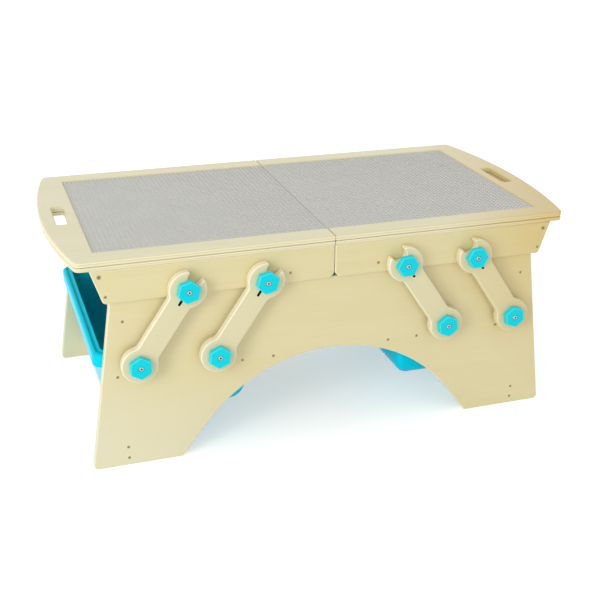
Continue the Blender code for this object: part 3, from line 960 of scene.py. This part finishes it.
@dataclass(frozen=True)
class SwingArm:
    """Wrench-shaped birch arm between a lower and an upper pivot."""

    length: float = 144.8 * MM
    lean: float = math.radians(34.1)
    thickness: float = 15.5 * MM
    head_radius: float = 30.8 * MM
    eye_radius: float = 30.0 * MM
    shank_width: float = 38.5 * MM
    fillet: float = 12.0 * MM
    edge_round: float = 2.8 * MM
    jaw_width: float = 24.0 * MM
    jaw_throat: float = 10.0 * MM
    tip_radius: float = 3.0 * MM
    bore: float = 8.8 * MM
    kerf_width: float = 3.6 * MM
    kerf_start: float = 14.0 * MM
    kerf_end: float = 28.6 * MM
    hole_round: float = 0.4 * MM
    plies: Plies = Plies(2.2 * MM, 0.5 * MM, (0.61, 0.23))
    steps: int = 12
    edge_steps: int = 5

    def neck(self, end_radius: float) -> tuple[float, np.ndarray]:
        """Fillet from a round end at the origin onto the shank below it.

        Its centre lies a fillet outside the shank and end_radius + fillet from
        the origin.

        Args:
            end_radius: Radius of the round end.

        Returns:
            The angle where it leaves the round end, and its points from there.
        """
        x = self.shank_width / 2 + self.fillet
        y = -math.sqrt((end_radius + self.fillet) ** 2 - x * x)
        meeting = math.atan2(y, x)
        return meeting, arc((x, y), self.fillet, meeting + math.pi, math.pi, self.steps // 2)

    def outline(self) -> np.ndarray:
        """Closed outline about the lower pivot, drawn clockwise and turned round.

        Returns:
            (N, 2) points: the right half from the throat down to the foot of
            the eye and its mirror image back up, in reverse order.
        """
        half = self.jaw_width / 2
        run = self.head_radius - self.tip_radius
        tip_lean = math.asin((half + self.tip_radius) / run)
        tip_centre = (half + self.tip_radius, run * math.cos(tip_lean))
        tip_end = QUARTER - tip_lean
        head_meeting, head_neck = self.neck(self.head_radius)
        eye_meeting, eye_neck = self.neck(self.eye_radius)
        throat = arc((0.0, self.jaw_throat + half), half, -QUARTER, 0.0, self.steps)
        tip = arc(tip_centre, self.tip_radius, math.pi, tip_end, self.steps)
        head = arc((0.0, 0.0), self.head_radius, tip_end, head_meeting, 2 * self.steps)
        upper = np.concatenate([throat, tip, head[1:], head_neck[1:]]) + (0.0, self.length)
        eye = arc((0.0, 0.0), self.eye_radius, -eye_meeting, -QUARTER, 2 * self.steps)
        right = np.concatenate([upper, eye_neck[::-1] * (1.0, -1.0), eye[1:]])
        return np.concatenate([right, right[-2:0:-1] * (-1.0, 1.0)])[::-1]

    def holes(self) -> list[np.ndarray]:
        """The two bores and the kerf below the upper one.

        Returns:
            Their (N, 2) outlines, all clockwise.
        """
        sides, end_steps = 2 * self.steps, self.steps // 2
        bores = [arc((0.0, y), self.bore / 2, WHOLE, 0.0, sides)[:-1] for y in (0.0, self.length)]
        half = self.kerf_width / 2
        top = self.length - self.kerf_start - half
        foot = self.length - self.kerf_end + half
        upper = arc((0.0, top), half, math.pi, 0.0, end_steps)
        lower = arc((0.0, foot), half, 0.0, -math.pi, end_steps)
        return bores + [np.concatenate([upper, lower])]

    def build(self, material: Material) -> None:
        """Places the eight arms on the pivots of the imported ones.

        Args:
            material: The arms' birch.
        """
        loops = [self.outline()] + self.holes()
        rounds = [self.edge_round] + [self.hole_round] * (len(loops) - 1)
        flat = rounded_slab(loops, rounds, self.thickness, self.edge_steps)
        # Only the kerf's wall, the last of the walls, gets near-black painted shade
        shaded_walls = np.arange(len(flat.faces)) == len(loops) - 1
        scorch = np.repeat(shaded_walls.astype(float), [len(part) for part in flat.faces])
        for number, (side, way, place) in enumerate(product(Side, Face, ArmPlace)):
            node = packed_name(side, way, place, "arm")
            low, high = node_box(node)
            eye = self.eye_radius
            x = low[0] + eye if side is Side.LEFT else high[0] - eye
            pivot = np.array([x, (low[1] + high[1]) / 2, low[2] + eye])
            turn = standing(way) @ spun(-self.lean * side.value * way.value)
            mesh = make_mesh(node + "_birch", flat.moved(pivot, turn))
            self.plies.store(mesh, flat.points[:, [1, 0, 2]], number)
            store(mesh, "scorch", scorch, "FACE")
            add_piece(mesh, [material], node_body(node), (node,), flat_faces=True)


# Knobs and their screws


@dataclass(frozen=True)
class HexKnob:
    """Hexagonal plastic knob moulded on its bolt, with a screw in its recess."""

    flats: float = 34.0 * MM
    height: float = 10.0 * MM
    corner_round: float = 2.6 * MM
    edge_round: float = 1.7 * MM
    rim_land: float = 0.4 * MM
    back_round: float = 0.5 * MM
    recess: float = 10.0 * MM
    recess_depth: float = 2.0 * MM
    recess_lip: float = 0.5 * MM
    # Share of the painted highlight at each station of the front edge's round
    rim_highlight: tuple[float, ...] = (0.3, 0.7, 1.0, 1.0, 1.0)
    bolt: float = 8.0 * MM
    bolt_tip: float = 0.6 * MM
    screw_head: float = 8.2 * MM
    screw_rise: float = 1.7 * MM
    socket: float = 3.2 * MM
    socket_round: float = 0.2 * MM
    socket_land: float = 0.5 * MM
    socket_depth: float = 1.3 * MM
    steps: int = 6
    crease: float = 50.0
    screw_crease: float = 40.0

    def hexagon(self, flats: float, corner_round: float) -> tuple[np.ndarray, np.ndarray]:
        """Hexagon with rounded corners, the first corner on +X.

        Point j of corner k is c_k + r (cos a, sin a), with c_k a corner of the
        hexagon whose flats lie 2 r closer, and a from 60 k - 30 to 60 k + 30
        degrees.

        Args:
            flats: Distance between opposite flats.
            corner_round: Radius r of the corners.

        Returns:
            The (6 (steps + 1), 2) points and their outward normals.
        """
        half_turn = math.pi / 6
        corner = np.arange(6)[:, None] * (2 * half_turn)
        normal = rays(corner + np.linspace(-half_turn, half_turn, self.steps + 1))
        core = (flats / 2 - corner_round) / math.cos(half_turn)
        points = core * rays(corner) + corner_round * normal
        return points.reshape(-1, 2), normal.reshape(-1, 2)

    def blended(self, shape: np.ndarray, normal: np.ndarray, stations: list[tuple]) -> Surface:
        """Skin through stations that go between an outline and circles.

        A station (share, inset, radius, z) is the ring
        (1 - share) (p - inset n) + share radius p / |p| at height z, with p and
        n the outline's points and normals.

        Args:
            shape: (N, 2) outline.
            normal: Its outward normals.
            stations: The stations, from the foot up.

        Returns:
            The closed skin.
        """
        share, inward, radius, height = np.array(stations).T[:, :, None, None]
        ray = shape / np.linalg.norm(shape, axis=1, keepdims=True)
        flat = (1 - share) * (shape - inward * normal) + share * radius * ray
        return lofted(raised(flat, height))

    def knob(self, bolt_reach: float) -> Surface:
        """The knob with its bolt, from the bolt's end at z = -bolt_reach up.

        Args:
            bolt_reach: Length of the bolt behind the head.

        Returns:
            The closed skin, down into the recess of the head.
        """
        bolt, mouth = self.bolt / 2, self.recess / 2
        stations = [
            (1.0, 0.0, bolt - self.bolt_tip, -bolt_reach),
            (1.0, 0.0, bolt, -bolt_reach + self.bolt_tip),
            (1.0, 0.0, bolt, 0.0),
            (0.0, self.back_round, 0.0, 0.0),
            (0.0, 0.0, 0.0, self.back_round),
        ]
        for angle in np.linspace(0.0, QUARTER, len(self.rim_highlight)):
            height = self.height - self.edge_round * (1 - math.sin(angle))
            stations.append((0.0, self.edge_round * (1 - math.cos(angle)), 0.0, height))
        stations += [
            (0.0, self.edge_round + self.rim_land, 0.0, self.height),
            (1.0, 0.0, mouth + self.recess_lip, self.height),
            (1.0, 0.0, mouth, self.height - self.recess_lip),
            (1.0, 0.0, mouth, self.height - self.recess_depth),
        ]
        return self.blended(*self.hexagon(self.flats, self.corner_round), stations)

    def rim_highlight_share(self) -> np.ndarray:
        """Painted highlight's share at each point: 5 stations lie before the edge's round, 4 after
        it.
        """
        return np.repeat([0.0] * 5 + [*self.rim_highlight] + [0.0] * 4, 6 * (self.steps + 1))

    def screw(self) -> Surface:
        """Domed screw head with a hexagon socket, seated on the recess's floor.

        Returns:
            The closed skin; its socket is drawn in near-black painted shade.
        """
        shape, normal = self.hexagon(self.socket, self.socket_round)
        foot, rise = self.height - self.recess_depth, self.screw_rise
        rim, land = self.screw_head / 2, self.socket / 2 + self.socket_land
        stations = [(1.0, 0.0, rim, foot), (1.0, 0.0, rim, foot + rise / 2)]
        for angle in np.linspace(0.25, 1.0, 4) * QUARTER:
            height = foot + rise * (1 + math.sin(angle)) / 2
            stations.append((1.0, 0.0, land + (rim - land) * math.cos(angle), height))
        stations.append((0.0, 0.0, 0.0, foot + rise))
        stations.append((0.0, 0.0, 0.0, foot + rise - self.socket_depth))
        return dark_topped(self.blended(shape, normal, stations), len(shape))

    def build(self, plastic: Material, steel: Material, dark: Material) -> None:
        """Places the sixteen knobs and their screws.

        Args:
            plastic: The knobs' plastic.
            steel: The screws' steel.
            dark: The sockets' painted shade.
        """
        screws: dict[str, list[Surface]] = {}
        for side, way, place, level in product(Side, Face, ArmPlace, ArmEnd):
            node = packed_name(side, way, place, level, "knob")
            body = node_body(node)
            low, high = node_box(node)
            # The knob looks out of its long face, and its bolt ends on the other side
            front, end = (low[1], high[1]) if way is Face.FRONT else (high[1], low[1])
            back = front - way.value * self.height
            seat = np.array([(low[0] + high[0]) / 2, back, (low[2] + high[2]) / 2])
            drawn = (read_mesh(frame["nodes"][node].data)[0] - seat) @ standing(way)
            far = drawn[np.argmax(np.hypot(drawn[:, 0], drawn[:, 1]))]
            turn = standing(way) @ spun(math.atan2(far[1], far[0]))
            skin = self.knob(abs(end - back)).moved(seat, turn)
            mesh = make_mesh(node + "_moulded", skin, self.crease)
            # Where the front edge's round gets its painted highlight
            store(mesh, "rim", self.rim_highlight_share())
            add_piece(mesh, [plastic], body, (node,), flat_faces=True)
            screws.setdefault(body, []).append(self.screw().moved(seat, turn))
        for body, heads in screws.items():
            mesh = make_mesh(body + "_knob_screws", joined(heads), self.screw_crease)
            add_piece(mesh, [steel, dark], body)


@dataclass(frozen=True)
class WoodScrew:
    """Flush wood screw with a cross drive."""

    head: float = 5.2 * MM
    crown: float = 0.3 * MM
    # Heights of the rings from the rim in to the floor of the cross, as shares of the crown
    ring_rises: tuple[float, ...] = (0.25, 0.75, 1.0, 1.0, 0.15)
    sunk: float = 0.3 * MM
    shoulder: float = 0.35 * MM
    drive_reach: float = 1.7 * MM
    drive_waist: float = 0.6 * MM
    drive_sharpness: float = 6.0
    drive_taper: float = 0.8
    points: int = 32

    def surface(self, head: float) -> Surface:
        """Low dome pierced by a cross, from the rim up and back down.

        The cross is the curve r = w + (R - w) |cos 2a| ^ s, with w its waist,
        R its reach and s its sharpness.

        Args:
            head: Diameter of the head.

        Returns:
            The closed skin; the cross is drawn in near-black painted shade.
        """
        angle = np.arange(self.points) * (WHOLE / self.points)
        ray = rays(angle)
        grown = head / self.head
        reach, waist = self.drive_reach * grown, self.drive_waist * grown
        petal = np.abs(np.cos(2 * angle)) ** self.drive_sharpness
        cross = (waist + (reach - waist) * petal)[:, None] * ray
        rim = head / 2
        dome = [radius * ray for radius in (rim, rim, rim - self.shoulder, 0.5 * (rim + reach))]
        flat = np.stack(dome + [cross, self.drive_taper * cross])
        heights = [-self.sunk] + [rise * self.crown for rise in self.ring_rises]
        return dark_topped(lofted(raised(flat, heights)), self.points)


@dataclass(frozen=True)
class ScrewRows:
    """Where the wood screws sit on the long faces, as (x, z) in mm on the right half."""

    runner: tuple = ((103.5, 165.0), (157.0, 165.0), (310.0, 165.0), (363.7, 165.0))
    rail: tuple = ((351.0, 261.0),)
    stretcher: tuple = ((353.5, 34.3), (353.0, 14.0))
    apron: tuple = ((375.5, 308.4), (76.6, 313.5))
    apron_bolt: tuple = ((383.2, 342.1),)
    bolt_head: float = 7.4 * MM
    screw: WoodScrew = WoodScrew()
    # No two screws stop at the same angle, so each row and each screw turns on by its own
    row_turn: float = 0.7
    screw_turn: float = 1.1
    crease: float = 35.0

    def build(self, steel: Material, dark: Material) -> None:
        """Adds the screws of the base and of the two half trays.

        Args:
            steel: The heads' steel.
            dark: The drives' painted shade.
        """
        heads: dict[str, list[Surface]] = {"base": [], "left_tray": [], "right_tray": []}
        number = 0
        for way, side in product(Face, Side):
            panel = reach_out(packed_name(way, "side_panel"), way)
            apron = reach_out(packed_name(side, way, "apron"), way)
            rows = [("base", panel, row) for row in (self.runner, self.rail, self.stretcher)]
            tray = packed_name(side, "tray")
            rows += [(tray, apron, row) for row in (self.apron, self.apron_bolt)]
            for body, depth, row in rows:
                size = self.bolt_head if row is self.apron_bolt else self.screw.head
                head = self.screw.surface(size)
                for step, (x, z) in enumerate(row):
                    angle = self.row_turn * (number + 1) + self.screw_turn * step
                    spot = np.array([side.value * x * MM, way.value * depth, z * MM])
                    heads[body].append(head.moved(spot, standing(way) @ spun(angle)))
                number += 1
        for body, found in heads.items():
            mesh = make_mesh(body + "_wood_screws", joined(found), self.crease)
            add_piece(mesh, [steel, dark], body)


# Studded plates


@dataclass(frozen=True)
class StuddedPlate:
    """Square plate with rows of low studs, set into a half top."""

    thickness: float = 7.8 * MM
    edge_round: float = 0.5 * MM
    edge_steps: int = 3
    studs: int = 48
    pitch: float = 8.0 * MM
    stud_diameter: float = 4.8 * MM
    stud_height: float = 1.7 * MM
    stud_edge: float = 0.25 * MM
    root: float = 0.1 * MM
    sides: int = 12
    crease: float = 40.0

    def slab(self) -> Surface:
        """The plate without its studs, its upper face on the XY plane.

        Returns:
            The closed slab.
        """
        half = self.studs * self.pitch / 2
        square = np.array([(-half, -half), (half, -half), (half, half), (-half, half)])
        slab = rounded_slab([square], [self.edge_round], self.thickness, self.edge_steps)
        return slab.moved(np.array([0.0, 0.0, -self.thickness / 2]))

    def field(self) -> Surface:
        """All the studs of a plate, standing on the XY plane.

        A stud is turned about Z: ring r, point k is (R cos a, R sin a, Z), with
        (R, Z) the r-th row of its profile and a = 2 pi k / sides.

        Returns:
            One surface with a closed shell for each stud.
        """
        radius, shoulder = self.stud_diameter / 2, self.stud_height - self.stud_edge
        radii = np.array([radius, radius, radius - self.stud_edge])
        ring = rays(np.arange(self.sides) * (WHOLE / self.sides))
        heights = [-self.root, shoulder, self.stud_height]
        stud = lofted(raised(radii[:, None, None] * ring, heights))
        line = (np.arange(self.studs) - (self.studs - 1) / 2) * self.pitch
        grid = np.stack(np.meshgrid(line, line, [0.0]), axis=-1).reshape(-1, 3)
        return stud.repeated(grid)

    def build(self, plastic: Material) -> None:
        """Places both plates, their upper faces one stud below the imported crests.

        Args:
            plastic: The plates' plastic.
        """
        flat = joined([self.slab(), self.field()])
        for node in packed_names(Side, ["studded_plate"]):
            low, high = node_box(node)
            spot = np.array([*((low + high) / 2)[:2], high[2] - self.stud_height])
            mesh = make_mesh(node + "_moulded", flat.moved(spot), self.crease)
            add_piece(mesh, [plastic], node_body(node), (node,))


# Storage tubs


@dataclass(frozen=True)
class StorageTub:
    """Deep tub with a rolled rim that hangs on the runners."""

    depth: float = 138.0 * MM
    wall: float = 2.6 * MM
    rim_height: float = 22.0 * MM
    rim_width: float = 16.5 * MM
    rim_round: float = 6.5 * MM
    rim_dip: float = 1.9 * MM
    corner_radius: float = 18.0 * MM
    corner_narrowing: float = 0.25
    wall_lean: float = math.radians(4.0)
    floor_radius: float = 40.0 * MM
    corner_steps: int = 12
    bowl_steps: int = 10
    lip_steps: int = 5
    dish_steps: int = 12
    roll_steps: int = 8
    crease: float = 60.0

    def section(self, top: float) -> np.ndarray:
        """Inside skin as rows of inset from the rim's outline and height.

        It runs from the middle of the floor out, up the leaning wall, over the
        lip, across the dished flange, over the rolled edge and down the skirt.
        At a share s of its width the flange lies dip (sin(pi s)) ** (2 / 3) low.

        Args:
            top: Height of the rim's top.

        Returns:
            (S, 2) rows.
        """
        deep, start = self.floor_radius, self.rim_width - self.wall
        foot = self.rim_width + (self.depth - deep) * math.tan(self.wall_lean)
        centre = (foot + deep, top - self.depth + deep)
        bowl = arc(centre, deep, 3 * QUARTER, math.pi + self.wall_lean, self.bowl_steps)
        lip = arc((start, top - self.wall), self.wall, 0.0, QUARTER, self.lip_steps)
        share = np.linspace(0.0, 1.0, self.dish_steps + 1)[1:-1]
        low = self.rim_dip * np.sin(math.pi * share) ** (2 / 3)
        dished = np.column_stack([start + (self.rim_round - start) * share, top - low])
        edge = (self.rim_round, top - self.rim_round)
        roll = arc(edge, self.rim_round, QUARTER, math.pi, self.roll_steps)
        return np.concatenate([bowl, lip, dished, roll, [(0.0, top - self.rim_height)]])

    def under_side(self, section: np.ndarray) -> np.ndarray:
        """The same section one wall thickness behind, from the skirt back to the floor.

        Each point moves along the mean of its edges' normals over the cosine
        of half their turn; the ends move along their one edge's normal.

        Args:
            section: The inside skin's rows.

        Returns:
            (S, 2) rows in reverse order.
        """
        normal = edge_normals(np.diff(section, axis=0))
        before = np.concatenate([normal[:1], normal])
        after = np.concatenate([normal, normal[-1:]])
        return inset(section, before, after, self.wall)[::-1]

    def ring(self, half: np.ndarray, radius: np.ndarray) -> np.ndarray:
        """Rounded rectangles, one for each section row.

        Corner q turns from 90 q to 90 (q + 1) degrees about a centre that lies
        one radius inside both sides.

        Args:
            half: (S, 2) half lengths and half widths.
            radius: (S,) corner radii.

        Returns:
            (S, 4 (steps + 1), 2) points.
        """
        angle = np.arange(4)[:, None] * QUARTER + np.linspace(0.0, QUARTER, self.corner_steps + 1)
        sign = np.array([(1, 1), (-1, 1), (-1, -1), (1, -1)], dtype=float)
        centre = sign[None, :, None, :] * (half - radius[:, None])[:, None, None, :]
        rings = centre + radius[:, None, None, None] * rays(angle)
        return rings.reshape(len(half), -1, 2)

    def build(self, plastic: Material) -> None:
        """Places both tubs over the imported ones.

        Args:
            plastic: The tubs' plastic.
        """
        for node in packed_names(Side, ["storage_tub"]):
            low, high = node_box(node)
            section = self.section(high[2])
            rows = np.concatenate([section, self.under_side(section)])
            radius = self.corner_radius - rows[:, 0] * self.corner_narrowing
            flat = self.ring((high - low)[:2] / 2 - rows[:, :1], radius)
            centre = np.array([*((low + high) / 2)[:2], 0.0])
            skin = lofted(raised(flat, rows[:, 1])[::-1]).moved(centre)
            mesh = make_mesh(node + "_moulded", skin, self.crease)
            add_piece(mesh, [plastic], node_body(node), (node,), flat_faces=True)


# Studio


@dataclass(frozen=True)
class SoftLight:
    """Square lamp that looks at the table."""

    name: str
    power: float
    place: tuple[float, float, float]
    size: float

    def build(self, target: Vector) -> None:
        """Hangs the lamp.

        Args:
            target: The point that it looks at.
        """
        data = bpy.data.lights.new(self.name, "AREA")
        data.energy, data.size = self.power, self.size
        lamp = new_object(self.name, data)
        lamp.location = self.place
        lamp.rotation_euler = (target - lamp.location).to_track_quat("-Z", "Y").to_euler()


@dataclass(frozen=True)
class Studio:
    """Pale floor, soft lights and the camera."""

    camera_place: tuple[float, float, float] = (-0.57154, -1.73692, 0.95549)
    camera_yaw: float = 0.3271
    camera_pitch: float = -0.4100
    camera_roll: float = 0.0101
    focal_length: float = 63.57
    sensor: float = 36.0
    clip: tuple[float, float] = (0.05, 60.0)
    floor_size: float = 14.0
    floor_drop: float = 0.4 * MM
    paper: MattPaper = MattPaper("matt_white_paper")
    sky: float = 0.75
    key: SoftLight = SoftLight("key_light", 53.0, (-3.6, -3.1, 2.4), 1.8)
    fill: SoftLight = SoftLight("fill_light", 25.0, (-3.5, -2.5, 0.55), 1.0)
    target: tuple[float, float, float] = (0.0, 0.0, 0.2)

    def camera(self) -> None:
        """Makes the camera, which looks along Y before it yaws, pitches and rolls."""
        yaw = Matrix.Rotation(-self.camera_yaw, 4, "Z")
        pitch = Matrix.Rotation(QUARTER + self.camera_pitch, 4, "X")
        roll = Matrix.Rotation(self.camera_roll, 4, "Z")
        data = bpy.data.cameras.new("camera")
        data.lens, data.sensor_width = self.focal_length, self.sensor
        data.clip_start, data.clip_end = self.clip
        camera = new_object("camera", data)
        camera.matrix_world = Matrix.Translation(self.camera_place) @ yaw @ pitch @ roll
        bpy.context.scene.camera = camera

    def floor(self) -> None:
        """Lays the pale floor."""
        signs = np.array([(-1.0, -1.0, 0.0), (1.0, -1.0, 0.0), (1.0, 1.0, 0.0), (-1.0, 1.0, 0.0)])
        corners = signs * (self.floor_size / 2) - (0.0, 0.0, self.floor_drop)
        mesh = make_mesh("floor", Surface(corners, [np.arange(4)[None, :]]))
        mesh.materials.append(self.paper.material())
        floor = new_object("floor", mesh)

    def world(self) -> None:
        """Soft sky for the light, plain white where the camera or a gloss sees it."""
        world = bpy.data.worlds.new("studio")
        world.use_nodes = True
        tree = world.node_tree
        inputs = {"Value": seen_directly(tree), "To Min": self.sky, "To Max": 1.0}
        strength = add_node(tree, "ShaderNodeMapRange", inputs)
        feed(tree, tree.nodes["Background"], {"Color": WHITE, "Strength": strength})
        bpy.context.scene.world = world

    def build(self) -> None:
        """Sets up the whole studio."""
        self.camera()
        self.floor()
        self.world()
        for lamp in (self.key, self.fill):
            lamp.build(Vector(self.target))
        bpy.context.scene.view_settings.view_transform = "Standard"


# The table


def board_families() -> dict[str, list[Boards]]:
    """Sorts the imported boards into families.

    Returns:
        The families, by the sheet that they are sawn from.
    """
    panels = packed_names(Face, ["side_panel"]) + packed_names(Side, Face, ["tub_runner"])
    rails = packed_names(Side, ["upper_cross_rail", "lower_stretcher"])
    tops = packed_names(Side, ["top_frame", "deck_board"])
    aprons = packed_names(Side, Face, ["apron"])
    ties = packed_names(Side, ["end_board", "cross_rail"])
    spacers = packed_names(Side, Face, ArmPlace, ["spacer"])
    return {
        "base": [Boards(panels, Grain.ALONG), Boards(rails, Grain.ACROSS)],
        "tray": [Boards(tops, Grain.ALONG, ease=0.25 * MM)],
        "apron": [Boards(aprons, Grain.ALONG), Boards(ties, Grain.ACROSS)],
        "arm": [Boards(spacers, Grain.ALONG, slot="arm_wood", ease=0.3 * MM)],
    }


def birch_sheets() -> dict[str, Material]:
    """Builds the birch of each sheet.

    The side panels get painted light towards the left foot; every sheet gets
    painted shade in amber towards the table's right end.

    Returns:
        The materials, by sheet.
    """
    sheets = {
        "base": LacqueredBirch(
            "lacquered_birch_side_panel",
            pale="#E2D7A9",
            deep="#DED29E",
            # Painted light towards the left foot, painted amber shade towards the right end
            painted_shading=(
                PaintedShading((-0.20, 0.0, 0.17), (-0.26, 0.0, 0.0), 0.8, "#E4DFC1"),
                PaintedShading((0.24, 0.0, 0.18), (0.36, 0.0, 0.30), 0.5),
            ),
        ),
        "tray": LacqueredBirch(
            "lacquered_birch_half_tray",
            pale="#EDE6C3",
            deep="#E8DFB4",
            # Painted amber shade towards the right end
            painted_shading=(PaintedShading((0.28, 0.0, 0.0), (0.455, -0.06, 0.0), 0.75),),
            ply_light="#EFE8C8",
            ply_dark="#DFD4A8",
        ),
        "apron": LacqueredBirch(
            "lacquered_birch_apron",
            pale="#E1D7A7",
            deep="#DDD19B",
            # Painted amber shade towards the right end
            painted_shading=(PaintedShading((0.22, 0.0, 0.0), (0.44, 0.0, 0.0), 0.85),),
        ),
        "arm": LacqueredBirch(
            "lacquered_birch_swing_arm",
            pale="#E1D8B0",
            deep="#DDD3A7",
            # Painted amber shade towards the right end
            painted_shading=(PaintedShading((0.15, 0.0, 0.0), (0.44, 0.0, 0.0), 0.6),),
            ply_light="#F3ECD2",
            ply_dark="#E8DDB8",
        ),
    }
    return {key: sheet.material() for key, sheet in sheets.items()}


def main() -> None:
    """Builds the finishes and every sub-assembly in order."""
    logging.basicConfig(level=logging.INFO, format="%(name)s: %(message)s")
    Studio().build()
    birch = birch_sheets()
    grey_abs = MouldedPlastic(
        "light_grey_ABS", colour="#D4D4CD", drift="#CDCCC6", roughness=(0.29, 0.41)
    ).material()
    tub_pp = MouldedPlastic(
        "turquoise_polypropylene",
        colour="#0EDBFB",
        drift="#0BCFF1",
        roughness=(0.17, 0.29),
        gloss=0.02,
    ).material()
    knob_abs = MouldedPlastic(
        "bright_turquoise_ABS",
        colour="#0ADDE9",
        drift="#06D0E0",
        roughness=(0.25, 0.37),
        # Painted highlight on the knobs' rounded front edges
        rim="#3CE2EC",
        grit=0.6 * MM,
        gloss=0.15,
    ).material()
    steel = ZincPlatedSteel("bright_zinc_plated_steel", "#D6D6D2", "#B4B2AA").material()
    yellow_steel = ZincPlatedSteel("yellow_zinc_plated_steel", "#B9AC86", "#8F835F").material()
    # Painted shade in the screws' drives and sockets
    dark = DriveShadow("oiled_drive_recess").material()
    for key, families in board_families().items():
        for family in families:
            family.build(birch[key])
    StuddedPlate().build(grey_abs)
    StorageTub().build(tub_pp)
    SwingArm().build(birch["arm"])
    HexKnob().build(knob_abs, steel, dark)
    ScrewRows().build(yellow_steel, dark)


if __name__ == "__main__":
    main()
